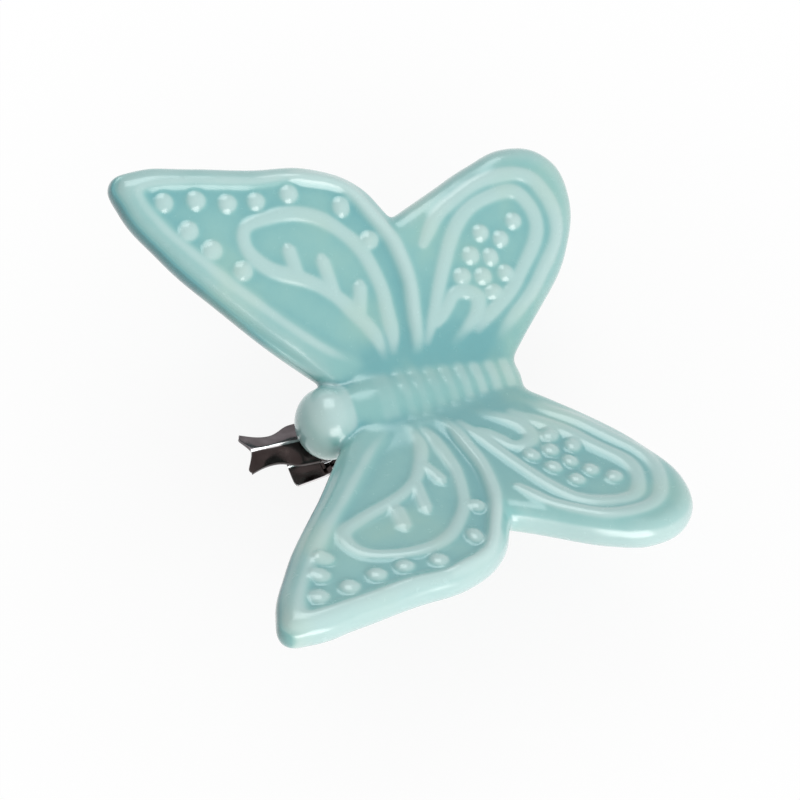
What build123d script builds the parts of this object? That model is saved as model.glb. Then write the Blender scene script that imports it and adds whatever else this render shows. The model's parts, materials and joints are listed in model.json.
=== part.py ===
"""A glazed ceramic butterfly cemented to a small sprung crocodile clip.

The butterfly is one fired casting: two mirrored pairs of thick wings with raised
veins and dots, on a ringed body with a round head. The clip under it is two pressed
sheet levers on a riveted pin, held shut by a torsion spring round that pin. The part
stands on its clip, as on a table, with the head turned towards -Y and a little up.
"""

import os
from math import cos, pi, radians, sin, tan

from build123d import *

os.makedirs("parts", exist_ok=True)

# Wings
wing_span = 64.2
wing_length = 56.5
wing_thickness = 4.5
wing_seat = 1.9
wing_slope = 19.3
wing_edge_round = 1.5
wing_notch_round = 1.2
field_depth = 0.45

# Raised veins and dots on the wings
vein_radius = 0.95
vein_sink = 0.45
vein_sides = 6
forewing_dot = 2.6
hindwing_dot = 2.3
dot_height = 0.6

# Body
head_radius = 4.45
neck_radius = 3.4
thorax_radius = 4.3
thorax_start = 3.0
thorax_end = 8.6
ring_count = 8
ring_front_radius = 4.2
ring_rear_radius = 3.1
ring_groove = 0.3
body_length = 26.0
tail_cap = 1.6
tail_flat = 0.8
belly_drop = 3.2

# Cement bed
cement_thickness = 0.5
cement_length = 11.0
cement_width = 4.2
cement_round = 1.85

# Clip
sheet = 0.5
clip_width = 5.6
clip_rise = 2.95
clip_spread = 12.8
clip_shoulder = 1.2
jaw_length = 12.6
pivot_reach = 4.5
ear_radius = 1.75
side_clearance = 0.15
mouth_start = 3.4
mouth_clearance = 0.12
tooth_height = 0.55
tooth_count = 7
jaw_tip_round = 1.5

# Pinch tails of the clip
tail_channel = 5.4
tail_depth = 1.3
tail_crease = 0.8
tail_shoulder_at = 7.8
tail_shoulder = 5.3
tail_shoulder_bow = 1.1
tail_waist_at = 11.0
tail_waist = 3.7
tail_waist_bow = 1.1
upper_tail = 14.4
tail_ears = 5.4
tail_ears_bow = 0.8
tail_notch = 0.9
lower_tail = 8.1
lower_tail_width = 6.2
lower_tail_bow = 0.9
lower_channel = 4.4

# Hinge pin and spring
pin_radius = 0.7
pin_clearance = 0.08
pin_head_radius = 1.25
pin_head_height = 0.5
wire = 0.5
coil_radius = 1.4
coil_pitch = 0.95
coil_half_turns = 5
leg_reach = 3.7
leg_straight = 0.8
leg_clearance = 0.2
leg_bend = 1.5
wire_samples = 320

overrun = 5.0

# Outlines and places on the wings, as shares of half the span and of the wings' length,
# from the head's centre: first across, then along the body
root_front_share = (0.03, 0.055)
leading_edge_shares = [(0.47, -0.185), (0.865, -0.34)]
wing_tip_share = (0.975, -0.265)
outer_edge_shares = [(0.925, -0.04), (0.885, 0.1)]
notch_share = (0.65, 0.255)
hind_edge_shares = [
    (0.715, 0.355), (0.82, 0.55), (0.765, 0.64), (0.625, 0.675), (0.4, 0.635), (0.205, 0.54),
]
root_rear_share = (0.03, 0.44)
fore_field_shares = [
    (0.125, 0.11), (0.265, 0.025), (0.55, -0.135), (0.85, -0.27), (0.905, -0.26), (0.885, -0.15),
    (0.845, 0.045), (0.79, 0.13), (0.695, 0.18), (0.545, 0.22), (0.37, 0.235), (0.125, 0.205),
]
fore_cell_shares = [
    (0.135, 0.15), (0.24, 0.145), (0.34, 0.11), (0.485, 0.02), (0.605, -0.1), (0.68, -0.125),
    (0.74, -0.08), (0.74, 0.02), (0.67, 0.105), (0.565, 0.16), (0.41, 0.185), (0.17, 0.18),
]
fore_branch_shares = [
    [(0.495, 0.005), (0.615, 0.0)], [(0.41, 0.07), (0.555, 0.07)], [(0.32, 0.115), (0.44, 0.14)],
]
hind_ring_shares = [
    (0.525, 0.3), (0.595, 0.335), (0.65, 0.385), (0.71, 0.46), (0.72, 0.54), (0.675, 0.59),
    (0.58, 0.615), (0.485, 0.61), (0.38, 0.575), (0.205, 0.47), (0.12, 0.41),
]
hind_cell_shares = [
    (0.155, 0.25), (0.28, 0.29), (0.405, 0.325), (0.52, 0.365), (0.61, 0.415), (0.65, 0.475),
    (0.655, 0.53), (0.605, 0.56), (0.525, 0.57), (0.43, 0.545), (0.245, 0.43), (0.155, 0.365),
]
hind_arch_shares = [
    (0.23, 0.285), (0.28, 0.32), (0.325, 0.345), (0.325, 0.375), (0.29, 0.395), (0.225, 0.38),
    (0.125, 0.3),
]
fore_dot_shares = [
    (0.855, -0.245), (0.745, -0.205), (0.66, -0.165), (0.565, -0.11), (0.84, -0.175), (0.81, -0.11),
    (0.8, -0.045), (0.8, 0.035), (0.72, 0.14), (0.585, 0.185),
]
hind_dot_shares = [
    (0.54, 0.52), (0.485, 0.48), (0.52, 0.435), (0.43, 0.445), (0.45, 0.4), (0.365, 0.47),
    (0.37, 0.415), (0.385, 0.37), (0.305, 0.43),
]
run_rounding_share = 0.45
fore_vein_shares = [fore_cell_shares, *fore_branch_shares]
hind_vein_shares = [hind_ring_shares, hind_cell_shares, hind_arch_shares]

# The butterfly lies level in its own frame, with the origin at the middle of its head;
# the wing's frame follows the top of the +X wing, outwards and then along the body
slope = radians(wing_slope)
wing_top = Plane((0, 0, wing_seat), x_dir=(cos(slope), 0, sin(slope)), z_dir=(-sin(slope), 0, cos(slope)))
wing_reach = wing_span / 2 / cos(slope)


def on_wing(share):
    """The place of a share on the wing's top face."""
    return (share[0] * wing_reach, share[1] * wing_length)


def vein_path(shares):
    """Straight runs joined by the largest tangent arcs that they leave room for."""
    points = [on_wing(share) for share in shares]
    runs = [Vector(after) - Vector(before) for before, after in zip(points, points[1:])]
    radii = [
        run_rounding_share * min(a.length, b.length) / tan(radians(a.get_angle(b)) / 2)
        for a, b in zip(runs, runs[1:])
    ]
    if not radii:
        return Line(*points)
    return FilletPolyline(*points, radius=radii)


with BuildPart() as butterfly:
    # Plate of one wing pair, with its whole edge rounded over
    with BuildSketch(wing_top):
        with BuildLine():
            leading_points = [on_wing(share) for share in [root_front_share] + leading_edge_shares]
            leading = ThreePointArc(*leading_points)
            tip = TangentArc(leading @ 1, on_wing(wing_tip_share), tangent=leading % 1)
            outer_points = [tip @ 1] + [on_wing(share) for share in outer_edge_shares + [notch_share]]
            outer = Spline(*outer_points, tangents=[tip % 1, Vector(-1, 1)])
            hind = Spline(outer @ 1, *[on_wing(share) for share in hind_edge_shares + [root_rear_share]])
            Line(hind @ 1, leading @ 0)
        make_face()
    extrude(amount=-wing_thickness)
    upright = Axis(wing_top.origin, wing_top.z_dir)
    notch_corner = wing_top.from_local_coords(Vector(on_wing(notch_share)))
    fillet(butterfly.edges().filter_by(upright).sort_by_distance(notch_corner)[0], wing_notch_round)
    root_face = butterfly.faces().filter_by(GeomType.PLANE).sort_by(Axis.X)[0]
    fillet(butterfly.edges().filter_by(upright, reverse=True) - root_face.edges(), wing_edge_round)

    # A sunk field inside the rim of the forewing
    with BuildSketch(wing_top):
        with BuildLine():
            border = vein_path(fore_field_shares)
            Line(border @ 1, border @ 0)
        make_face()
    extrude(amount=-field_depth, mode=Mode.SUBTRACT)

    # Veins and dots on the sunk field and on the hindwing, then the other pair of wings
    for ground, veins, dots, dot in (
        (wing_top.offset(-field_depth), fore_vein_shares, fore_dot_shares, forewing_dot),
        (wing_top, hind_vein_shares, hind_dot_shares, hindwing_dot),
    ):
        for shares in veins:
            with BuildLine(ground.offset(-vein_sink)) as vein:
                vein_path(shares)
            with BuildSketch(Plane(origin=vein.line @ 0, x_dir=wing_top.z_dir, z_dir=vein.line % 0)):
                RegularPolygon(vein_radius, vein_sides, rotation=180 / vein_sides)
            sweep(path=vein.line)
        dot_ball = (dot**2 / 4 + dot_height**2) / (2 * dot_height)
        dot_plane = ground.offset(dot_height - dot_ball)
        with Locations(*[dot_plane.from_local_coords(Vector(on_wing(share))) for share in dots]):
            Sphere(dot_ball)
    mirror(about=Plane.YZ)

    # Ringed body, turned about the line of the back, and the head
    ring_pitch = (body_length - tail_cap - thorax_end) / ring_count
    with BuildSketch(Plane(origin=(0, 0, 0), x_dir=(0, 0, -1), z_dir=(1, 0, 0))):
        with BuildLine():
            Line((0, 0), (0, body_length))
            thorax = ThreePointArc(
                (neck_radius, thorax_start),
                (thorax_radius, (thorax_start + thorax_end) / 2),
                (ring_front_radius - ring_groove, thorax_end),
            )
            Polyline((0, 0), (neck_radius, 0), thorax @ 0)
            ring_end = thorax @ 1
            for ring in range(ring_count):
                taper = (ring + 1) / ring_count
                radius = ring_front_radius + (ring_rear_radius - ring_front_radius) * taper
                middle = thorax_end + (ring + 1 / 2) * ring_pitch
                next_end = (radius - ring_groove, middle + ring_pitch / 2)
                ring_end = ThreePointArc(ring_end, (radius, middle), next_end) @ 1
            cap_middle = tail_flat + (radius - ring_groove - tail_flat) * sin(pi / 4)
            cap_rise = body_length - tail_cap * (1 - cos(pi / 4))
            ThreePointArc(ring_end, (cap_middle, cap_rise), (tail_flat, body_length))
            Line((tail_flat, body_length), (0, body_length))
        make_face()
    revolve(axis=Axis.Y)
    Sphere(head_radius)

    # Flat under the body where the clip is cemented
    with BuildSketch(Plane.XY.offset(-belly_drop)):
        with Locations((0, pivot_reach)):
            Rectangle(wing_span, cement_length * 2)
    extrude(amount=-overrun, mode=Mode.SUBTRACT)

# The clip's frames, about its hinge: each lever's own line, and the line of the mouth halfway
# between them; in every one X runs to the jaws and Y out to that lever's back
half_spread = clip_spread / 2
pivot = Vector(0, pivot_reach, -belly_drop - cement_thickness - clip_rise)


def hinge_plane(turn, side):
    """A frame at the hinge, turned up at the jaws, with Y towards the given side's back."""
    return Plane(origin=pivot, x_dir=(0, cos(radians(turn)), sin(radians(turn))), z_dir=(side, 0, 0))


def across(frame, along):
    """The plane square to a lever's line, looking from the jaws to the tails."""
    return Plane(origin=frame.from_local_coords(Vector(along, 0, 0)), x_dir=frame.z_dir, z_dir=-frame.x_dir)


def tooth_edge(phase):
    """The toothed edge of a jaw along the mouth, from the hinge to the tip."""
    step = (jaw_length - mouth_start) / (2 * tooth_count)
    edge = []
    for point in range(2 * tooth_count + 1):
        height = phase * (-1) ** point * tooth_height / 2
        edge.append((mouth_start + point * step, mouth_clearance / 2 + height))
    return edge


def lever_edge(phase, channel_end):
    """The inner edge of a lever seen from the side, round its hinge ear to its teeth."""
    tail_edge = clip_rise - tail_depth + channel_end * sin(radians(half_spread))
    return [
        (jaw_length + overrun, clip_rise + overrun),
        (-channel_end, clip_rise + overrun),
        (-channel_end, tail_edge),
        (-ear_radius - tail_depth, tail_edge),
        (-ear_radius, 0),
        (ear_radius, mouth_clearance / 2),
        *tooth_edge(phase),
        (jaw_length + overrun, mouth_clearance),
    ]


def creased_strip(width, bow):
    """Cross-section of a sheet strip folded down on both sides of a rounded crease."""
    faces = []
    with BuildSketch() as strip:
        with BuildLine():
            for depth in (0, sheet):
                rim = clip_rise - bow - depth
                fold = ((-width / 2, rim), (0, clip_rise - depth), (width / 2, rim))
                faces.append(FilletPolyline(*fold, radius=tail_crease))
            Line(faces[0] @ 0, faces[1] @ 0)
            Line(faces[0] @ 1, faces[1] @ 1)
        make_face()
    return strip.sketch


def channel_wall(width):
    """Cross-section of a pressed channel, closed here and opened by the lever's side edge."""
    with BuildSketch() as channel:
        RectangleRounded(width, 2 * clip_rise, clip_shoulder)
        offset(amount=-sheet, mode=Mode.SUBTRACT)
    return channel.sketch


upper_line = hinge_plane(0, 1)
upper_mouth = hinge_plane(half_spread, 1)
lower_line = hinge_plane(clip_spread, -1)
lower_mouth = hinge_plane(half_spread, -1)
lower_width = clip_width - 2 * (sheet + side_clearance)
tip_on_origin = (Align.CENTER, Align.MAX)


def back_plane(frame):
    """The plane of a lever's back through the hinge, with Y along the lever to the jaws."""
    return Plane(origin=pivot, x_dir=frame.z_dir, z_dir=frame.y_dir)


with BuildPart() as upper_lever:
    # Jaw and hinge channel, cut to its side edge and rounded at the tip
    with BuildSketch(across(upper_line, jaw_length)):
        add(channel_wall(clip_width))
    extrude(amount=jaw_length + tail_channel)
    with BuildSketch(upper_mouth):
        with BuildLine():
            Polyline(*lever_edge(-1, tail_channel), close=True)
        make_face()
        Circle(ear_radius)
    extrude(amount=clip_width, both=True, mode=Mode.INTERSECT)
    with BuildSketch(back_plane(upper_line)):
        with Locations((0, jaw_length)):
            RectangleRounded(clip_width, 2 * jaw_length + tail_channel, jaw_tip_round, align=tip_on_origin)
    extrude(amount=clip_rise, both=True, mode=Mode.INTERSECT)

    # Fish-tailed pinch plate: creased along its middle, narrow at its waist and wide at its ears
    for along, width, bow in (
        (sheet - tail_channel, clip_width, clip_shoulder),
        (-tail_shoulder_at, tail_shoulder, tail_shoulder_bow),
        (-tail_waist_at, tail_waist, tail_waist_bow),
        (-upper_tail, tail_ears, tail_ears_bow),
    ):
        with BuildSketch(across(upper_line, along)):
            add(creased_strip(width, bow))
    loft()
    notch_radius = (tail_ears**2 / 4 + tail_notch**2) / (2 * tail_notch)
    with BuildSketch(back_plane(upper_line)):
        with Locations((0, tail_notch - upper_tail - notch_radius)):
            Circle(notch_radius)
    extrude(amount=clip_rise + overrun, mode=Mode.SUBTRACT)
    with BuildSketch(upper_line):
        Circle(pin_radius)
    extrude(amount=clip_width, both=True, mode=Mode.SUBTRACT)

with BuildPart() as lower_lever:
    # Jaw as wide as the upper one, stepped in to a hinge channel that sits between its ears
    step_at = ear_radius + sheet
    with BuildSketch(across(lower_line, jaw_length)):
        add(channel_wall(clip_width))
    extrude(amount=jaw_length - step_at)
    with BuildSketch(across(lower_line, step_at + sheet)):
        RectangleRounded(clip_width, 2 * clip_rise, clip_shoulder)
        hollow = (lower_width - 2 * sheet, 2 * (clip_rise - sheet))
        RectangleRounded(*hollow, clip_shoulder - sheet, mode=Mode.SUBTRACT)
    extrude(amount=sheet)
    with BuildSketch(across(lower_line, step_at + sheet)):
        add(channel_wall(lower_width))
    extrude(amount=step_at + sheet + lower_channel)
    with BuildSketch(lower_mouth):
        with BuildLine():
            Polyline(*lever_edge(1, lower_channel), close=True)
        make_face()
        Circle(ear_radius)
    extrude(amount=clip_width, both=True, mode=Mode.INTERSECT)
    with BuildSketch(back_plane(lower_line)):
        with Locations((0, jaw_length)):
            RectangleRounded(clip_width, 2 * jaw_length + lower_channel, jaw_tip_round, align=tip_on_origin)
    extrude(amount=clip_rise, both=True, mode=Mode.INTERSECT)

    # Short pinch plate, creased and flared, with a straight end
    for along, width, bow in (
        (sheet - lower_channel, lower_width, clip_shoulder),
        (-lower_tail, lower_tail_width, lower_tail_bow),
    ):
        with BuildSketch(across(lower_line, along)):
            add(creased_strip(width, bow))
    loft()
    with BuildSketch(lower_line):
        Circle(pin_radius + pin_clearance)
    extrude(amount=clip_width, both=True, mode=Mode.SUBTRACT)

with BuildPart() as hinge_pin:
    with BuildSketch(upper_line):
        Circle(pin_radius)
    extrude(amount=clip_width / 2, both=True)
    head_starts = (clip_width / 2, -clip_width / 2 - pin_head_height)
    with BuildSketch(*[upper_line.offset(start) for start in head_starts]):
        Circle(pin_head_radius)
    extrude(amount=pin_head_height)
    fillet(hinge_pin.edges().filter_by(GeomType.CIRCLE).group_by(Axis.X)[0], pin_head_height / 2)
    fillet(hinge_pin.edges().filter_by(GeomType.CIRCLE).group_by(Axis.X)[-1], pin_head_height / 2)

# Torsion spring: half turns whose ends lie square to the pin, then a leg under each tail
coil_length = coil_pitch * coil_half_turns / 2
tail_face = (clip_rise - sheet) / cos(radians(half_spread)) + leg_reach * tan(radians(half_spread))
leg_end = tail_face - leg_clearance - wire / 2
with BuildPart() as torsion_spring:
    with BuildLine(upper_mouth) as wire_path:
        first = -coil_length / 2
        knee = (-leg_straight, coil_radius, first)
        turn_end = (0, coil_radius, first)
        FilletPolyline((-leg_reach, leg_end, first), knee, turn_end, radius=leg_bend)
        for half in range(coil_half_turns):
            side = (-1) ** half
            middle = (side * coil_radius, 0, first + (half + 1 / 2) * coil_pitch / 2)
            next_end = (0, -side * coil_radius, first + (half + 1) * coil_pitch / 2)
            ThreePointArc(turn_end, middle, next_end)
            turn_end = next_end
        last = coil_length / 2
        knee = (-leg_straight, turn_end[1], last)
        FilletPolyline(turn_end, knee, (-leg_reach, -leg_end, last), radius=leg_bend)
    with BuildSketch(Plane(origin=wire_path.line @ 0, z_dir=wire_path.line % 0)):
        Circle(wire / 2)
    sweep(path=wire_path.line)

# Least gap between the wire's turns, on points along its middle
wire_points = [wire_path.line @ (k / wire_samples) for k in range(wire_samples + 1)]
pairs = [(a, b) for k, a in enumerate(wire_points) for b in wire_points[k + wire_samples // 8 :]]
print("spring gap", round(min((b - a).length for a, b in pairs) - wire, 3))

with BuildPart() as cement_bed:
    with BuildSketch(Plane.XY.offset(-belly_drop)):
        with Locations((0, pivot_reach)):
            RectangleRounded(cement_width, cement_length, cement_round, align=(Align.CENTER, Align.MIN))
    extrude(amount=-cement_thickness)

# Stood on the lower lever, with the middle of the whole over the origin
pieces = {
    "butterfly": butterfly, "cement_bed": cement_bed, "clip_upper_lever": upper_lever,
    "clip_lower_lever": lower_lever, "hinge_pin": hinge_pin, "torsion_spring": torsion_spring,
}
turned = Location((0, 0, 0), (-clip_spread, 0, 0))
stand_box = Compound([turned * piece.part for piece in pieces.values()]).bounding_box()
standing = Location((0, -stand_box.center().Y, -stand_box.min.Z)) * turned
for name, piece in pieces.items():
    piece.part.locate(standing)
    piece.part.label = name
    export_step(piece.part, f"parts/{name}.step")
    print(name, piece.part.is_valid, len(piece.part.solids()), round(piece.part.volume, 2))
print("hinge", (standing * Location(pivot)).position)
print("head", standing.position)
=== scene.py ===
"""The looks of a clip-on ceramic butterfly: a celadon-glazed casting on a dark spring clip."""

import json
import math

import bmesh
import bpy
import numpy as np
from mathutils import Matrix, Vector, noise


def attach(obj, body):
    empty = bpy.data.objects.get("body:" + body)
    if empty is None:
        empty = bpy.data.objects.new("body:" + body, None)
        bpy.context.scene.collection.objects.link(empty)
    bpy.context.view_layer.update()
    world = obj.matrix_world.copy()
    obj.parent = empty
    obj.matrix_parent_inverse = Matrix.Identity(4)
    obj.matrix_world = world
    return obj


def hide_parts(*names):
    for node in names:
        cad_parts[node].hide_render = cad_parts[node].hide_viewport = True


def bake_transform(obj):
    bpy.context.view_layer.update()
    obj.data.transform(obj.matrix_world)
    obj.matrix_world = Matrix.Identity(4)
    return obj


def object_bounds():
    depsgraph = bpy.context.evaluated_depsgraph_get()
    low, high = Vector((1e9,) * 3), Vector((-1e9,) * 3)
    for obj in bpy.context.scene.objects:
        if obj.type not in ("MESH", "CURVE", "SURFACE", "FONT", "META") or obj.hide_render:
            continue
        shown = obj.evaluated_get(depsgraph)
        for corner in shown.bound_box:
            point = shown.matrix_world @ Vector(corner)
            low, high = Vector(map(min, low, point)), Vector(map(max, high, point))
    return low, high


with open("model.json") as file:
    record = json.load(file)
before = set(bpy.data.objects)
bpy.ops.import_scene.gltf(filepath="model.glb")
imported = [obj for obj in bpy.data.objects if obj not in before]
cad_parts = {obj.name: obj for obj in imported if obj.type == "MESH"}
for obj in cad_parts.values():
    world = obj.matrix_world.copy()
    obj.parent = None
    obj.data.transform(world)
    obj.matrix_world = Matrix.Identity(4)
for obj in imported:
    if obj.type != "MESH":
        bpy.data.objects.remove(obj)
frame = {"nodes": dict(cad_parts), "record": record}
cad_low, cad_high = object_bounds()
scene = bpy.context.scene

# Glazed casting: four thick wings with pressed veins and dots, a ringed body and a round
# head, all of one clay and fired in one piece. The celadon glaze has run off the raised
# lines and pooled between them.
MM = 0.001
hinge = Vector(frame["record"]["behaviour"]["joints"][0]["pos_m"])
nose_up = math.radians(12.8)
head_from_hinge = Vector((0, -4.5, 6.65)) * MM
level = Matrix.Translation(hinge) @ Matrix.Rotation(-nose_up, 4, "X") @ Matrix.Translation(head_from_hinge)

# Plates of both wing pairs, rounded over along their whole edge
wing_half_span = 32.1 * MM
wing_length = 56.5 * MM
wing_thickness = 4.5 * MM
wing_seat = 1.9 * MM
wing_slope = math.radians(19.3)
edge_round = 2.1 * MM
wing_outline_shares = [
    (0.03, 0.055), (0.245, -0.07), (0.47, -0.185), (0.68, -0.28), (0.865, -0.34), (0.97, -0.345),
    (1, -0.285), (0.97, -0.165), (0.925, -0.04), (0.885, 0.1), (0.79, 0.2), (0.65, 0.255),
    (0.715, 0.355), (0.78, 0.455), (0.82, 0.55), (0.765, 0.64), (0.625, 0.675), (0.4, 0.635),
    (0.205, 0.54), (0.03, 0.44),
]
sharp_outline_shares = [(0.03, 0.055), (0.65, 0.255), (0.03, 0.44)]


def on_wing(share):
    """A place on the +X wing's top face, outwards and then along the body."""
    return (share[0] * wing_half_span / math.cos(wing_slope), share[1] * wing_length)


def as_mesh(source):
    """The finished mesh of a curve or a mesh with modifiers, which is then let go."""
    scene.collection.objects.link(source)
    bpy.context.view_layer.update()
    mesh = bpy.data.meshes.new_from_object(source.evaluated_get(bpy.context.evaluated_depsgraph_get()))
    bpy.data.objects.remove(source)
    return mesh


edge = bpy.data.curves.new("edge", "CURVE")
edge.dimensions = "2D"
edge.fill_mode = "BOTH"
edge.extrude = wing_thickness / 2 - edge_round
edge.bevel_depth = edge_round
edge.bevel_resolution = 5
edge.offset = -edge_round
edge.resolution_u = 8
spline = edge.splines.new("BEZIER")
spline.bezier_points.add(len(wing_outline_shares) - 1)
spline.use_cyclic_u = True
for knot, share in zip(spline.bezier_points, wing_outline_shares):
    handle = "VECTOR" if share in sharp_outline_shares else "AUTO"
    knot.co = (*on_wing(share), 0)
    knot.handle_left_type = handle
    knot.handle_right_type = handle
plate = as_mesh(bpy.data.objects.new("plate", edge))
wing_frame = Matrix.Translation((0, 0, wing_seat)) @ Matrix.Rotation(-wing_slope, 4, "Y")
plate.transform(wing_frame @ Matrix.Translation((0, 0, -wing_thickness / 2)))
clay = bmesh.new()
clay.from_mesh(plate)
bmesh.ops.mirror(clay, geom=clay.verts[:] + clay.edges[:] + clay.faces[:], axis="X", merge_dist=-1)

# Body and head, turned about the line of the back
body_length = 26.0 * MM
tail_cap = 1.6 * MM
tail_steps = 6
neck_radius = 4.0 * MM
thorax_start = 3.0 * MM
thorax_end = 8.6 * MM
thorax_radius = 4.3 * MM
thorax_steps = 8
ring_count = 8
ring_steps = 6
ring_front_radius = 4.2 * MM
ring_rear_radius = 2.6 * MM
ring_rear_lift = 0.4 * MM
ring_groove = 0.32 * MM
head_radius = 4.5 * MM
head_length_share = 0.9
head_aside = 0.3 * MM
ring_pitch = (body_length - tail_cap - thorax_end) / ring_count
waist_radius = ring_front_radius - ring_groove
profile = [(neck_radius, 0.0), (neck_radius, thorax_start)]
for step in range(1, thorax_steps + 1):
    share = step / thorax_steps
    base = neck_radius + (waist_radius - neck_radius) * share
    swell = (thorax_radius - (neck_radius + waist_radius) / 2) * math.sin(math.pi * share)
    profile.append((base + swell, thorax_start + (thorax_end - thorax_start) * share))
for step in range(1, ring_count * ring_steps + 1):
    share = step / (ring_count * ring_steps)
    radius = ring_front_radius + (ring_rear_radius - ring_front_radius) * share
    groove = ring_groove * (1 - math.sin(math.pi * (step % ring_steps) / ring_steps))
    profile.append((radius - groove, thorax_end + ring_pitch * step / ring_steps))
for step in range(1, tail_steps + 1):
    angle = math.pi / 2 * step / tail_steps
    radius = (ring_rear_radius - ring_groove) * math.cos(angle)
    profile.append((radius, body_length - tail_cap * (1 - math.sin(angle))))
body = bmesh.new()
rim = [body.verts.new((radius, along, 0)) for radius, along in profile]
for before, after in zip(rim, rim[1:]):
    body.edges.new((before, after))
line = body.verts[:] + body.edges[:]
bmesh.ops.spin(body, geom=line, axis=(0, 1, 0), cent=(0, 0, 0), angle=2 * math.pi, steps=64, use_merge=True)
bmesh.ops.remove_doubles(body, verts=body.verts, dist=0.001 * MM)
bmesh.ops.holes_fill(body, edges=body.edges[:])
for vertex in body.verts:
    vertex.co.z += ring_rear_lift * max(0, vertex.co.y - thorax_end) / (body_length - thorax_end)
head_form = Matrix.Translation((head_aside, 0, 0)) @ Matrix.Diagonal((1, head_length_share, 1, 1))
bmesh.ops.create_uvsphere(body, u_segments=64, v_segments=40, radius=head_radius, matrix=head_form)
body_mesh = bpy.data.meshes.new("body")
body.to_mesh(body_mesh)
clay.from_mesh(body_mesh)
bmesh.ops.remove_doubles(clay, verts=clay.verts, dist=0.002 * MM)
bmesh.ops.recalc_face_normals(clay, faces=clay.faces[:])
clay_mesh = bpy.data.meshes.new("clay")
clay.to_mesh(clay_mesh)

# One skin over plates, body and head, eased where the wings grow out of the body
voxel = 0.3 * MM
skin_rounds = 12
root_rounds = 70
root_side = (4.5 * MM, 9 * MM)
root_start = (2 * MM, 5 * MM)


def eased_step(values, low, high):
    """0 below low and 1 above high, with a smooth rise between."""
    share = np.clip((values - low) / (high - low), 0, 1)
    return share * share * (3 - 2 * share)


def eased(points, links, rounds):
    """The points after rounds of averaging with their neighbours."""
    count = np.bincount(links.ravel(), minlength=len(points))[:, None]
    for _ in range(rounds):
        total = np.zeros_like(points)
        for axis in range(3):
            total[:, axis] += np.bincount(links[:, 0], points[links[:, 1], axis], len(points))
            total[:, axis] += np.bincount(links[:, 1], points[links[:, 0], axis], len(points))
        points = (points + total / count) / 2
    return points


def read_points(mesh, values, name):
    """A mesh's points or normals as rows of three numbers."""
    rows = np.empty(len(mesh.vertices) * 3, dtype=np.float32)
    values.foreach_get(name, rows)
    return rows.reshape(-1, 3).astype(np.float64)


def moved_normals(mesh, points):
    """A mesh's normals once its points have been moved."""
    mesh.vertices.foreach_set("co", points.astype(np.float32).ravel())
    mesh.update()
    return read_points(mesh, mesh.vertex_normals, "vector")


joined = bpy.data.objects.new("joined", clay_mesh)
remesh = joined.modifiers.new("one_skin", "REMESH")
remesh.mode = "VOXEL"
remesh.voxel_size = voxel
soften = joined.modifiers.new("soften", "SMOOTH")
soften.factor = 0.5
soften.iterations = skin_rounds
glazed = as_mesh(joined)
places = read_points(glazed, glazed.vertices, "co")
links = np.empty(len(glazed.edges) * 2, dtype=np.int32)
glazed.edges.foreach_get("vertices", links)
links = links.reshape(-1, 2)
near_body = 1 - eased_step(np.abs(places[:, 0]), *root_side)
near_body *= eased_step(places[:, 1], *root_start)
places += (eased(places, links, root_rounds) - places) * near_body[:, None]
normals = moved_normals(glazed, places)

# Rings and collar along the back, and the thin glaze on them and on the head
back_front = 2.4 * MM
back_rear = 1.3 * MM
back_edge_share = 1.8
back_facing = (0.4, 0.85)
ring_press = 0.08 * MM
ring_thin = 0.6
ring_crest = (0.3, 0.8)
front_ring_share = 0.45
ring_fade_reach = (14 * MM, 20 * MM)
collar_thin = 0.4
collar_front = (5 * MM, 6 * MM)
collar_rear = (7.6 * MM, thorax_end)
head_thin = 0.95
head_facing = (0.35, 0.9)
head_edge = (head_radius, 1.1 * head_radius)
along = places[:, 1]
half_back = back_front - (back_front - back_rear) * eased_step(along, thorax_end, body_length)
on_back = 1 - eased_step(np.abs(places[:, 0]), half_back, back_edge_share * half_back)
on_back *= eased_step(normals[:, 2], *back_facing)
on_rings = on_back * eased_step(along, thorax_end - ring_pitch / 2, thorax_end)
on_rings *= 1 - eased_step(along, body_length - tail_cap, body_length)
on_collar = on_back * eased_step(along, *collar_front) * (1 - eased_step(along, *collar_rear))
on_head = 1 - eased_step(np.linalg.norm(places, axis=1), *head_edge)
on_head *= eased_step(normals[:, 2], *head_facing)
crest = np.abs(np.sin(math.pi * (along - thorax_end) / ring_pitch))
ring_fade = front_ring_share + (1 - front_ring_share) * eased_step(along, *ring_fade_reach)
thin_and_lit = np.maximum(head_thin * on_head, collar_thin * on_collar)
thin_and_lit = np.maximum(thin_and_lit, ring_thin * on_rings * eased_step(crest, *ring_crest) * ring_fade)
places[:, 2] -= ring_press * (1 - crest) * on_rings

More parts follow.
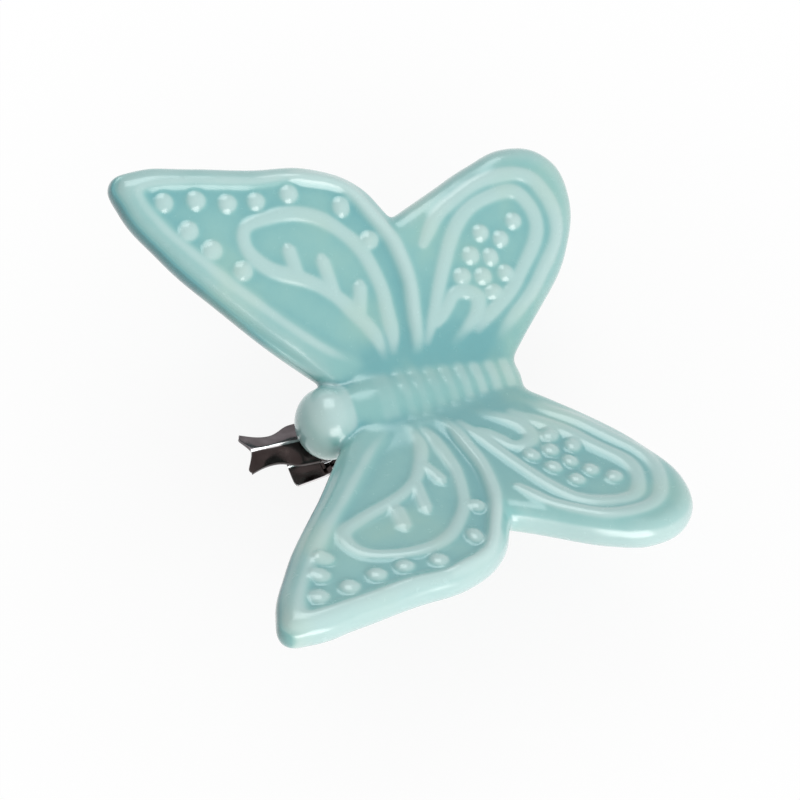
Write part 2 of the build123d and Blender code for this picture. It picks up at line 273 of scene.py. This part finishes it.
# Veins, dots and the sunk field of the fore wing, pressed into each top face
hind_start = 14 * MM
field_depth = 0.42 * MM
field_shoulder = 1.5 * MM
border_thin = 0.75
border_line = (0.1 * MM, 1.1 * MM)
rim_fall = 0.06
rim_fall_reach = 3 * MM
rim_root = (6 * MM, 14 * MM)
rim_start_shares = (0.3, 0.42)
rim_end = (hind_start - 3 * MM, hind_start - MM)
# The near wing's rims are paler than the far wing's: thin glaze on both, and painted light on the near one
far_rim_thin = 0.4
near_rim_thin_and_lit = 0.95
vein_width = 1.3 * MM
vein_crown = 0.25 * MM
vein_height = 0.31 * MM
vein_end_share = 0.6
vein_taper_share = 0.08
dot_height = 0.5 * MM
dot_edge_shares = (0.7, 1.1)
fore_dot_radius = 1.25 * MM
hind_dot_radius = 1.1 * MM
hand_drift = 0.35 * MM
drift_grain = 6 * MM
drift_seed = 1
fore_border_shares = [
    (0.125, 0.1), (0.25, 0.015), (0.39, -0.07), (0.535, -0.145), (0.71, -0.23), (0.845, -0.285),
    (0.92, -0.29), (0.925, -0.235), (0.905, -0.15), (0.88, -0.05), (0.865, 0.05), (0.805, 0.145),
    (0.71, 0.195), (0.55, 0.24), (0.38, 0.25), (0.205, 0.235), (0.125, 0.22),
]
hind_border_shares = [
    (0.525, 0.3), (0.595, 0.335), (0.65, 0.385), (0.71, 0.46), (0.72, 0.54), (0.675, 0.59),
    (0.58, 0.615), (0.485, 0.61), (0.38, 0.575), (0.29, 0.53), (0.205, 0.47), (0.12, 0.41),
]
far_cell_shares = [
    (0.135, 0.15), (0.24, 0.145), (0.34, 0.11), (0.415, 0.075), (0.485, 0.02), (0.545, -0.045),
    (0.605, -0.08), (0.665, -0.09), (0.715, -0.075), (0.735, -0.02), (0.725, 0.045), (0.67, 0.105),
    (0.565, 0.16), (0.41, 0.185), (0.255, 0.185), (0.17, 0.175),
]
near_cell_shares = [
    (0.135, 0.15), (0.24, 0.145), (0.34, 0.11), (0.415, 0.07), (0.48, 0.0), (0.535, -0.075),
    (0.585, -0.125), (0.64, -0.13), (0.7, -0.1), (0.735, -0.03), (0.725, 0.045), (0.67, 0.105),
    (0.565, 0.16), (0.41, 0.185), (0.255, 0.185), (0.17, 0.175),
]
hind_cell_shares = [
    (0.175, 0.255), (0.28, 0.29), (0.405, 0.325), (0.52, 0.365), (0.61, 0.415), (0.65, 0.475),
    (0.655, 0.53), (0.605, 0.56), (0.525, 0.57), (0.43, 0.545), (0.335, 0.495), (0.245, 0.43),
    (0.17, 0.375),
]
hind_arch_shares = [
    (0.23, 0.29), (0.28, 0.32), (0.325, 0.345), (0.325, 0.375), (0.29, 0.395), (0.225, 0.38),
    (0.16, 0.33), (0.13, 0.31),
]
branch_shares = [
    [(0.505, 0.005), (0.615, 0.0)], [(0.41, 0.075), (0.555, 0.07)], [(0.32, 0.12), (0.44, 0.14)],
]
vein_shares = [
    fore_border_shares[10:], *branch_shares, hind_border_shares, hind_cell_shares, hind_arch_shares,
]
far_dot_shares = [
    (0.855, -0.245), (0.745, -0.205), (0.66, -0.165), (0.565, -0.11), (0.84, -0.175), (0.81, -0.11),
    (0.8, -0.045), (0.8, 0.035), (0.72, 0.14), (0.585, 0.185),
]
near_dot_shares = [(0.855, -0.245), (0.765, -0.22), (0.69, -0.195), *far_dot_shares[4:]]
hind_dot_shares = [
    (0.54, 0.52), (0.485, 0.48), (0.52, 0.435), (0.43, 0.445), (0.45, 0.4), (0.365, 0.47),
    (0.37, 0.415), (0.385, 0.37), (0.305, 0.43),
]


def smooth_path(shares):
    """Points close together on a smooth line through the shares' places."""
    knots = [np.array(on_wing(share)) for share in shares]
    knots = [knots[0], *knots, knots[-1]]
    points = []
    for before, start, end, after in zip(knots, knots[1:], knots[2:], knots[3:]):
        for t in np.arange(0, 1, 1 / 8):
            bend = 2 * before - 5 * start + 4 * end - after
            twist = 3 * start - before - 3 * end + after
            points.append((2 * start + (end - before) * t + bend * t**2 + twist * t**3) / 2)
    return np.array([*points, knots[-1]])


def distance_to(path, places):
    """Each place's distance from a path, and how far along the path that is, as a share."""
    nearest = np.full(len(places), np.inf)
    share = np.zeros(len(places))
    for index, (start, end) in enumerate(zip(path, path[1:])):
        run = end - start
        along = np.clip((places - start) @ run / max(run @ run, 1e-18), 0, 1)
        gap = np.linalg.norm(places - start - along[:, None] * run, axis=1)
        closer = gap < nearest
        nearest[closer] = gap[closer]
        share[closer] = (index + along[closer]) / (len(path) - 1)
    return nearest, share


def is_inside(path, places):
    """Whether each place lies inside a closed path."""
    inside = np.zeros(len(places), dtype=bool)
    for start, end in zip(path, np.roll(path, -1, axis=0)):
        passed = (start[1] > places[:, 1]) != (end[1] > places[:, 1])
        rise = end[1] - start[1] or 1e-12
        crossing = (end[0] - start[0]) * (places[:, 1] - start[1]) / rise + start[0]
        inside ^= passed & (places[:, 0] < crossing)
    return inside


def pressed_pattern(places, cell_shares, dot_shares, rim_paleness):
    """Height of the moulded pattern over a wing's top face, and how pale the glaze is on it: thin on the
    lines, dots and rim, with painted light on the near wing's rim.
    """
    drift = [noise.noise_vector(Vector((*place, 0)) / drift_grain) for place in places]
    places = places + np.array(drift)[:, :2] * hand_drift
    border = smooth_path(fore_border_shares)
    gap, along = distance_to(np.vstack([border, border[:1]]), places)
    inside = is_inside(border, places)
    height = np.where(inside, -field_depth * eased_step(gap, 0, field_shoulder), 0)
    fall = rim_fall * np.minimum(gap, rim_fall_reach) ** 2 / MM
    height -= np.where(inside | (places[:, 1] > hind_start), 0, fall)
    rim = rim_paleness * eased_step(places[:, 0], *rim_root) * eased_step(along, *rim_start_shares)
    rim *= 1 - eased_step(places[:, 1], *rim_end)
    thin_and_lit = np.maximum(border_thin * (1 - eased_step(gap, *border_line)), np.where(inside, 0, rim))
    bump = np.zeros(len(places))
    for shares in [cell_shares, *vein_shares]:
        gap, share = distance_to(smooth_path(shares), places)
        from_end = eased_step(np.minimum(share, 1 - share), 0, vein_taper_share)
        taper = vein_end_share + (1 - vein_end_share) * from_end
        line = 1 - eased_step(gap, vein_crown, vein_width * taper)
        bump = np.maximum(bump, vein_height * taper * line)
        thin_and_lit = np.maximum(thin_and_lit, line)
    for shares, radius in ((dot_shares, fore_dot_radius), (hind_dot_shares, hind_dot_radius)):
        for share in shares:
            gap = np.linalg.norm(places - np.array(on_wing(share)), axis=1) / radius
            bump = np.maximum(bump, dot_height * np.sqrt(np.clip(1 - gap**2, 0, 1)))
            thin_and_lit = np.maximum(thin_and_lit, 1 - eased_step(gap, *dot_edge_shares))
    return height + bump, thin_and_lit


# Each wing pair in turn takes its pattern, and the near pair is set as unevenly as by hand
top_facing = (0.35, 0.8)
top_depth = (0.3 * MM, 0.9 * MM)
top_root = (3.5 * MM, 8.5 * MM)
roll_facing = (-0.95, -0.4)
rear_facing = (-0.5, 0.1)
shaded_side_facing = (0.5, 0.9)
wing_start = 2 * MM
near_root = (3 * MM, 14 * MM)
near_fore_share = 0.25
near_fore_reach = 0.45
near_hind_shares = (0.22, 0.5)
near_front_shares = (-0.3, 0.0)
near_set_back = 1.3 * MM
near_tip_trim = 0.045
near_hind_reach = 1.9 * MM
near_hind_trim = 0.7 * MM
turn = np.array(wing_frame.to_3x3())
seat = np.array(wing_frame.translation)
shaded_sides = np.zeros(len(places))
noise.seed_set(drift_seed)
for side, cell_shares, dot_shares, rim_paleness in (
    (1, near_cell_shares, near_dot_shares, near_rim_thin_and_lit),
    (-1, far_cell_shares, far_dot_shares, far_rim_thin),
):
    flipped = np.array([side, 1, 1])
    local = (places * flipped - seat) @ turn
    facing = (normals * flipped) @ turn[:, 2]
    on_top = eased_step(facing, *top_facing)
    top = on_top * (1 - eased_step(local[:, 2], *top_depth)) * eased_step(local[:, 0], *top_root)
    chosen = top > 0
    height, line = pressed_pattern(local[chosen, :2], cell_shares, dot_shares, rim_paleness)
    local[chosen, 2] += top[chosen] * height
    thin_and_lit[chosen] = np.maximum(thin_and_lit[chosen], top[chosen] * line)
    outer = eased_step(local[:, 0], *rim_root)
    on_hind = eased_step(local[:, 1], hind_start - MM, hind_start + MM)
    # Edge rolls that face the rear, and those of the hind wings, turn paler by the rim paleness, which
    # holds painted light on the near wing
    pale = np.maximum(eased_step(normals[:, 1], *rear_facing), on_hind)
    roll = eased_step(facing, *roll_facing) * (1 - on_top) * pale
    thin_and_lit = np.maximum(thin_and_lit, rim_paleness * roll * outer)
    # Painted shade on the fore wings' side faces away from the root, darkened later where they face the
    # front
    shaded_side = (1 - eased_step(facing, *shaded_side_facing)) * (1 - on_hind)
    shaded_sides = np.maximum(shaded_sides, shaded_side * outer)
    if side > 0:
        share = local[:, 1] / wing_length
        root = eased_step(local[:, 0], *near_root)
        fore = np.clip((near_fore_share - share) / near_fore_reach, 0, 1)
        hind = eased_step(share, *near_hind_shares)
        front = eased_step(-share, *near_front_shares)
        local[:, 0] += root * (near_hind_reach * hind - near_tip_trim * fore * local[:, 0])
        local[:, 1] += root * (near_set_back * front - near_hind_trim * hind)
    moved = local[:, 0] > wing_start
    places[moved] = ((local @ turn.T + seat) * flipped)[moved]

# A hand-made unevenness, and the flat under the body where the clip is cemented
unevenness = 0.09 * MM
uneven_grain = 7 * MM
belly_drop = 3.2 * MM
belly_middle = 10 * MM
belly_reach = 15.5 * MM
last_rounds = 2
for index, point in enumerate(places):
    places[index] += normals[index] * unevenness * noise.noise(Vector(point) / uneven_grain)
under = (np.abs(places[:, 1] - belly_middle) < belly_reach) & (places[:, 2] < -belly_drop)
places[under, 2] = -belly_drop
places = eased(places, links, last_rounds)
normals = moved_normals(glazed, places)

# Where the glaze pooled below the broad form, with painted shade on the front edges, and where it ran thin
broad_rounds = 80
roll_shade = 0.9
roll_front = (0.1, 0.6)
body_pool = 0.26
body_side = (4 * MM, 9 * MM)
body_start = (4 * MM, 7 * MM)
thin_rounds = 3
relief_and_shade = ((places - eased(places, links, broad_rounds)) * normals).sum(axis=1) / MM
# Painted shade: the fore wings' edge rolls darken where they face the front
relief_and_shade -= roll_shade * shaded_sides * eased_step(-normals[:, 1], *roll_front)
beside_body = 1 - eased_step(np.abs(places[:, 0]), *body_side)
relief_and_shade -= body_pool * beside_body * (1 - on_back) * eased_step(along, *body_start)
thin_and_lit = eased(np.repeat(thin_and_lit[:, None], 3, axis=1), links, thin_rounds)[:, 0]
for name, values in (("relief_and_shade", relief_and_shade), ("thin_and_lit", thin_and_lit)):
    glazed.attributes.new(name, "FLOAT", "POINT").data.foreach_set("value", values.astype(np.float32))
glazed.transform(level)
glazed.shade_smooth()


class Shade:
    """A shader socket that can be added, multiplied and fed to further nodes."""

    def __init__(self, tree, socket):
        self.tree = tree
        self.socket = socket

    def node(self, kind, output=0, inputs=None, **settings):
        """The output of a new node with these settings and these input values or links."""
        node = self.tree.nodes.new(kind)
        for name, value in settings.items():
            setattr(node, name, value)
        for name, value in (inputs or {}).items():
            if isinstance(value, Shade):
                self.tree.links.new(value.socket, node.inputs[name])
            else:
                node.inputs[name].default_value = value
        return Shade(self.tree, node.outputs[output])

    def __add__(self, other):
        return self.node("ShaderNodeMath", operation="ADD", inputs={0: self, 1: other})

    def __mul__(self, other):
        return self.node("ShaderNodeMath", operation="MULTIPLY", inputs={0: self, 1: other})

    def __sub__(self, other):
        return self.node("ShaderNodeMath", operation="SUBTRACT", inputs={0: self, 1: other})

    def __rsub__(self, other):
        return self.node("ShaderNodeMath", operation="SUBTRACT", inputs={0: other, 1: self})

    __radd__ = __add__
    __rmul__ = __mul__

    def ramp(self, low, high):
        """0 at low and 1 at high, eased at both ends."""
        limits = {"Value": self, "From Min": low, "From Max": high}
        return self.node("ShaderNodeMapRange", interpolation_type="SMOOTHSTEP", inputs=limits)

    def mix(self, start, end):
        """From the start colour at 0 to the end colour at 1."""
        inputs = {0: self, 6: start, 7: end}
        return self.node("ShaderNodeMix", output=2, data_type="RGBA", inputs=inputs)

    def speckle(self, scale, detail):
        """Soft noise from 0 to 1 over these places."""
        inputs = {"Vector": self, "Scale": scale, "Detail": detail}
        return self.node("ShaderNodeTexNoise", inputs=inputs)

    def attribute(self, name):
        """A value that was worked out for each point of the mesh."""
        return self.node("ShaderNodeAttribute", output="Fac", attribute_name=name)

    def feed(self, socket):
        self.tree.links.new(self.socket, socket)


def srgb(red, green, blue):
    """A colour given as 0 to 255 screen values, as linear light."""
    shares = [value / 255 for value in (red, green, blue)]
    return (*[s / 12.92 if s <= 0.04045 else ((s + 0.055) / 1.055) ** 2.4 for s in shares], 1)


def new_material(name, **constants):
    """A Principled material with constant inputs, its shader node and its place for patterns."""
    material = bpy.data.materials.new(name)
    material.use_nodes = True
    shader = material.node_tree.nodes["Principled BSDF"]
    for socket, value in constants.items():
        shader.inputs[socket.replace("_", " ")].default_value = value
    place = material.node_tree.nodes.new("ShaderNodeTexCoord").outputs["Object"]
    return material, shader, Shade(material.node_tree, place)


def finish_with(mesh, material):
    """Gives a mesh one material all over."""
    mesh.materials.clear()
    mesh.materials.append(material)


def new_piece(name, mesh, node):
    """An object for a finished mesh that stands for a CAD node."""
    piece = bpy.data.objects.new(name, mesh)
    scene.collection.objects.link(piece)
    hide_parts(node)
    return piece


deepest_glaze_and_shade = srgb(48, 108, 112)
deep_glaze = srgb(96, 167, 172)
even_glaze = srgb(129, 187, 186)
crest_glaze = srgb(200, 224, 222)
thin_and_lit_glaze = srgb(204, 227, 226)
green_glaze = srgb(168, 200, 172)
glaze, shader, place = new_material(
    "celadon_glaze", Coat_Weight=0.9, Coat_Roughness=0.2, Coat_IOR=1.6, IOR=1.52,
)
clouds = place.speckle(95.0, 3.0)
mottle = place.speckle(900.0, 4.0)
film_and_shade = place.attribute("relief_and_shade") + 0.3 * (clouds - 0.5) + 0.08 * (mottle - 0.5)
ran_thin_and_lit = place.attribute("thin_and_lit") + 0.8 * (clouds - 0.5)
# The deepest tone is pooled glaze, and on the front edge rolls painted shade as well
tone = film_and_shade.ramp(-0.9, -0.3).mix(deepest_glaze_and_shade, deep_glaze)
tone = film_and_shade.ramp(-0.32, 0.03).mix(tone, even_glaze)
tone = (0.4 * film_and_shade.ramp(0.02, 0.4)).mix(tone, crest_glaze)
# The palest tone is the thin glaze, and on the near wing's rims painted light as well
tone = (0.47 * ran_thin_and_lit.ramp(0.05, 0.8)).mix(tone, thin_and_lit_glaze)
tone = (0.22 * clouds.ramp(0.45, 0.75)).mix(tone, green_glaze)
tone.feed(shader.inputs["Base Color"])
(0.22 + 0.08 * mottle).feed(shader.inputs["Roughness"])
finish_with(glazed, glaze)
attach(new_piece("butterfly_casting", glazed, "butterfly"), "ornament")

# Clip levers: two pressings of thin sheet steel with a shiny dark gunmetal plating, a little
# uneven where they were tumbled. Each keeps the jaw and hinge of its solid, and its tail is a
# creased and bowed plate for the fingers. The plating's colour holds painted shade on the near
# half, painted light on the far half, and painted highlights along the middle crease and on the
# near side beyond 3 mm, the pin's near end among them.
sheet = 0.5 * MM
clip_rise = 2.95 * MM
crease_share = 0.2
ear_shares = (0.6, 1.0)
tumbled_edge = 0.12 * MM
tumbled_angle = math.radians(45)
sharp_angle = math.radians(40)
crease_blend = 0.5 * MM
# Painted highlight: a white line along the middle crease
crease_highlight = (0.3 * MM, 0.08 * MM)
# Painted highlight: the plating turns white beyond 3 mm to the near side, on the pin's near end and the
# lower tail's near edge
near_edge_highlight = (2.9 * MM, 3.05 * MM)
upper_back = level.to_3x3() @ Vector((0, 0, 1))
upper_ahead = level.to_3x3() @ Vector((0, 1, 0))
lower_back = Vector((0, 0, -1))
lower_ahead = Vector((0, 1, 0))
upper_stations = (
    (5.0, 5.6, 1.2), (7.0, 5.6, 1.1), (8.2, 5.4, 1.1), (9.2, 4.4, 1.1), (10.2, 3.75, 1.1),
    (11.4, 3.75, 1.0), (12.6, 4.2, 0.85), (13.8, 5.0, 0.7), (15.1, 6.0, 0.6),
)
lower_stations = ((3.2, 5.8, 1.2), (4.4, 6.1, 1.05), (6.0, 6.2, 0.95), (8.2, 6.3, 0.85))
gunmetal, shader, place = new_material("gunmetal_plating", Metallic=1.0)
wear_and_glint = place.speckle(700.0, 5.0)
dents = place.speckle(260.0, 1.0)
across = place.node("ShaderNodeSeparateXYZ", output="X", inputs={"Vector": place})
from_crease = across.node("ShaderNodeMath", operation="ABSOLUTE", inputs={0: across})
# Painted shade on the near half and painted light on the far half of the plating, each with a random tone
shaded_plating = wear_and_glint.mix(srgb(46, 38, 37), srgb(72, 64, 63))
lit_plating = wear_and_glint.mix(srgb(66, 59, 60), srgb(116, 109, 112))
plating = across.ramp(crease_blend, -crease_blend).mix(shaded_plating, lit_plating)
# Painted highlights on the plating: white along the middle crease, in patches by the noise, and white
# beyond 3 mm to the near side
painted_highlights = (wear_and_glint * from_crease.ramp(*crease_highlight)).ramp(0.1, 0.6) + across.ramp(*near_edge_highlight)
painted_highlights.mix(plating, srgb(236, 232, 232)).feed(shader.inputs["Base Color"])
(0.1 + 0.16 * wear_and_glint).feed(shader.inputs["Roughness"])
pressing = {"Strength": 0.6, "Distance": 0.9 * MM, "Height": dents}
place.node("ShaderNodeBump", output="Normal", inputs=pressing).feed(shader.inputs["Normal"])


def evened(values):
    """The values with each averaged over its neighbours within three steps."""
    return np.convolve(np.pad(values, 3, "edge"), np.ones(7) / 7, "valid")


def pressed_lever(node, ahead, back, stations, cut, notch, blunt):
    """A lever's jaw and hinge as in the solid, with a creased tail of thin sheet behind them."""
    lever = bmesh.new()
    lever.from_mesh(node.data)
    lever.transform(node.matrix_world)
    bmesh.ops.remove_doubles(lever, verts=lever.verts, dist=0.001 * MM)
    whole = lever.verts[:] + lever.edges[:] + lever.faces[:]
    cut_place = hinge - ahead * cut
    bmesh.ops.bisect_plane(lever, geom=whole, plane_co=cut_place, plane_no=-ahead, clear_outer=True)
    reach, width, bow = (np.array(values) * MM for values in zip(*stations))
    fine = np.linspace(reach[0], reach[-1], 61)
    width = evened(np.interp(fine, reach, width))
    bow = evened(np.interp(fine, reach, bow))
    tail = bmesh.new()
    bmesh.ops.create_grid(tail, x_segments=24, y_segments=40, size=1)
    for vertex in tail.verts:
        u, t = vertex.co.x, (vertex.co.y + 1) / 2
        ear = eased_step(abs(u), *ear_shares) ** 2
        end = reach[-1] - notch * (1 - abs(u) ** 1.5) - blunt * ear
        along = reach[0] + (end - reach[0]) * t
        fold = (math.hypot(u, crease_share) - crease_share) / (math.hypot(1, crease_share) - crease_share)
        up = clip_rise - np.interp(along, fine, bow) * fold
        aside = Vector((u * np.interp(along, fine, width) / 2, 0, 0))
        vertex.co = hinge - ahead * along + back * up + aside
    copied = bmesh.ops.extrude_face_region(tail, geom=tail.faces[:])["geom"]
    inner = [item for item in copied if isinstance(item, bmesh.types.BMVert)]
    bmesh.ops.translate(tail, verts=inner, vec=-back * sheet)
    tail_mesh = bpy.data.meshes.new("tail")
    tail.to_mesh(tail_mesh)
    lever.from_mesh(tail_mesh)
    bmesh.ops.recalc_face_normals(lever, faces=lever.faces[:])
    mesh = bpy.data.meshes.new(node.name)
    lever.to_mesh(mesh)
    raw = bpy.data.objects.new("raw", mesh)
    bevel = raw.modifiers.new("tumbled_edges", "BEVEL")
    bevel.width = tumbled_edge
    bevel.segments = 3
    bevel.limit_method = "ANGLE"
    bevel.angle_limit = tumbled_angle
    mesh = as_mesh(raw)
    mesh.shade_smooth()
    mesh.set_sharp_from_angle(angle=sharp_angle)
    finish_with(mesh, gunmetal)
    return mesh


upper_mesh = pressed_lever(
    frame["nodes"]["clip_upper_lever"], upper_ahead, upper_back, upper_stations,
    cut=5.3 * MM, notch=1.5 * MM, blunt=0.9 * MM,
)
lower_mesh = pressed_lever(
    frame["nodes"]["clip_lower_lever"], lower_ahead, lower_back, lower_stations,
    cut=4.3 * MM, notch=0, blunt=0.25 * MM,
)
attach(new_piece("upper_lever_pressing", upper_mesh, "clip_upper_lever"), "ornament")
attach(new_piece("lower_lever_pressing", lower_mesh, "clip_lower_lever"), "lower_lever")
finish_with(frame["nodes"]["hinge_pin"].data, gunmetal)

# Spring: bright drawn wire, wound round the pin with a leg under each tail.
wire = 0.5 * MM
coil_radius = 1.4 * MM
coil_pitch = 0.95 * MM
coil_turns = 2.5
turn_steps = 80
leg_reach = 3.7 * MM
leg_end = 2.43 * MM
leg_straight = 0.8 * MM
leg_steps = 8
bend_share = 0.4
mouth_tilt = nose_up / 2
coil_end = coil_pitch * coil_turns / 2
leg_tip = Vector((-leg_reach, leg_end))
knee = Vector((-leg_straight, coil_radius))
bend_start = knee.lerp(leg_tip, bend_share)
bend_end = Vector((0, coil_radius))
leg = [leg_tip.lerp(bend_start, step / leg_steps) for step in range(leg_steps)]
for step in range(leg_steps):
    t = step / leg_steps
    leg.append(bend_start.lerp(knee, t).lerp(knee.lerp(bend_end, t), t))
path = [(along, up, -coil_end) for along, up in leg]
for step in range(turn_steps + 1):
    wound = step / turn_steps
    angle = 2 * math.pi * coil_turns * wound
    path.append((coil_radius * math.sin(angle), coil_radius * math.cos(angle), coil_end * (2 * wound - 1)))
path += [(along, -up, coil_end) for along, up in reversed(leg)]
forward = Vector((0, math.cos(mouth_tilt), -math.sin(mouth_tilt)))
outward = Vector((0, math.sin(mouth_tilt), math.cos(mouth_tilt)))
strand = bpy.data.curves.new("strand", "CURVE")
strand.dimensions = "3D"
strand.bevel_depth = wire / 2
strand.bevel_resolution = 3
strand.use_fill_caps = True
spline = strand.splines.new("POLY")
spline.points.add(len(path) - 1)
for knot, (along, up, aside) in zip(spline.points, path):
    knot.co = (*(hinge + forward * along + outward * up + Vector((aside, 0, 0))), 1)
spring_mesh = as_mesh(bpy.data.objects.new("strand", strand))
spring_mesh.shade_smooth()
spring_steel, shader, place = new_material("spring_wire", Metallic=1.0)
drawn = place.speckle(2500.0, 2.0)
drawn.mix(srgb(150, 150, 152), srgb(190, 190, 192)).feed(shader.inputs["Base Color"])
(0.2 + 0.15 * drawn).feed(shader.inputs["Roughness"])
finish_with(spring_mesh, spring_steel)
spring = new_piece("spring_coil", spring_mesh, "torsion_spring")
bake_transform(spring)

# Cement: a bed of clear resin between the casting's belly and the clip, poured, pressed flat
# and set, and gone a little yellow.
resin, shader, place = new_material("set_resin", Coat_Weight=0.4)
cast = place.speckle(400.0, 3.0)
cast.mix(srgb(196, 186, 150), srgb(222, 214, 188)).feed(shader.inputs["Base Color"])
(0.15 + 0.2 * cast).feed(shader.inputs["Roughness"])
finish_with(frame["nodes"]["cement_bed"].data, resin)

# Camera: high on the near wing's side of the head, with a long lens. The head lies on its own
# pixel of the picture, and the scale is the one that the clip gives.
camera_azimuth = math.radians(70.6)
camera_height = math.radians(65.4)
camera_distance = 480 * MM
pixels_per_mm = 8.25
head_pixel = (327, 421)
image_size = 800
head = level.translation
away = Vector((
    math.sin(camera_azimuth) * math.cos(camera_height),
    -math.cos(camera_azimuth) * math.cos(camera_height),
    math.sin(camera_height),
))
right = Vector((0, 0, 1)).cross(away).normalized()
upward = away.cross(right)
pixels_to_middle = (image_size / 2 - head_pixel[0]) * right + (head_pixel[1] - image_size / 2) * upward
camera_data = bpy.data.cameras.new("camera")
camera_data.sensor_width = 36
camera_data.lens = camera_data.sensor_width * camera_distance / (image_size / pixels_per_mm * MM)
camera_data.clip_start = 10 * MM
camera = bpy.data.objects.new("camera", camera_data)
camera.location = head + pixels_to_middle / pixels_per_mm * MM + away * camera_distance
camera.rotation_euler = (-away).to_track_quat("-Z", "Y").to_euler()
scene.collection.objects.link(camera)
scene.camera = camera

# Floor: a plain sheet of white paper, far enough down for the lower jaw to swing open above
# it, which fades into the white studio.
floor_reach = 600 * MM
jaw_swing = 6.5 * MM
shadow_reach = 90 * MM
paper_white = 0.88


def seen_white(shade):
    """1 for rays from the camera and for reflected or passed ones, which see the white studio."""
    kinds = ("Is Camera Ray", "Is Glossy Ray", "Is Transmission Ray")
    direct, reflected, passed = (shade.node("ShaderNodeLightPath", output=kind) for kind in kinds)
    return (direct + reflected + passed).ramp(0, 1)


sheet_of_paper = bmesh.new()
bmesh.ops.create_grid(sheet_of_paper, x_segments=8, y_segments=8, size=floor_reach)
bmesh.ops.translate(sheet_of_paper, verts=sheet_of_paper.verts, vec=(0, 0, cad_low[2] - jaw_swing))
floor_mesh = bpy.data.meshes.new("floor")
sheet_of_paper.to_mesh(floor_mesh)
paper, shader, place = new_material("white_paper", Base_Color=(0.8, 0.8, 0.8, 1), Roughness=0.9)
from_clip = place.node("ShaderNodeVectorMath", output="Value", operation="LENGTH", inputs={0: place})
share = seen_white(place) * (paper_white + (1 - paper_white) * from_clip.ramp(0, shadow_reach))
white = place.node("ShaderNodeEmission", inputs={"Color": (1, 1, 1, 1), "Strength": 1.0})
shaded = Shade(paper.node_tree, shader.outputs["BSDF"])
blended = place.node("ShaderNodeMixShader", inputs={0: share, 1: shaded, 2: white})
blended.feed(paper.node_tree.nodes["Material Output"].inputs["Surface"])
paper.cycles.emission_sampling = "NONE"
finish_with(floor_mesh, paper)
floor = bpy.data.objects.new("floor", floor_mesh)
scene.collection.objects.link(floor)

# Light: a white studio, brighter above the tail, with a large soft box on each side. What the
# camera sees of it, straight or in a reflection, is plain white.
bright_side = (0.3, 0.75, 0.6)
dim_glow = (0.05, 0.052, 0.055, 1)
bright_glow = (0.68, 0.66, 0.65, 1)
box_distance = 350 * MM
world = bpy.data.worlds.new("studio")
world.use_nodes = True
tree = world.node_tree
sky = Shade(tree, tree.nodes.new("ShaderNodeTexCoord").outputs["Generated"])
facing_bright = {0: sky, 1: bright_side}
towards = sky.node("ShaderNodeVectorMath", output="Value", operation="DOT_PRODUCT", inputs=facing_bright)
glow = towards.ramp(-0.6, 0.9).mix(dim_glow, bright_glow)
seen_white(sky).mix(glow, (1, 1, 1, 1)).feed(tree.nodes["Background"].inputs["Color"])
scene.world = world
scene.view_settings.view_transform = "Standard"


def soft_box(name, direction, size, power, colour):
    """A square lamp that faces the head from a direction."""
    lamp = bpy.data.lights.new(name, "AREA")
    lamp.size = size
    lamp.energy = power
    lamp.color = colour
    box = bpy.data.objects.new(name, lamp)
    box.location = head + Vector(direction).normalized() * box_distance
    box.rotation_euler = (head - box.location).to_track_quat("-Z", "Y").to_euler()
    scene.collection.objects.link(box)


soft_box("far_box", (-0.6, 0.2, 0.77), size=215 * MM, power=0.34, colour=(0.9, 1, 1))
soft_box("near_box", (0.88, 0.1, 0.43), size=260 * MM, power=0.75, colour=(1, 0.98, 0.96))
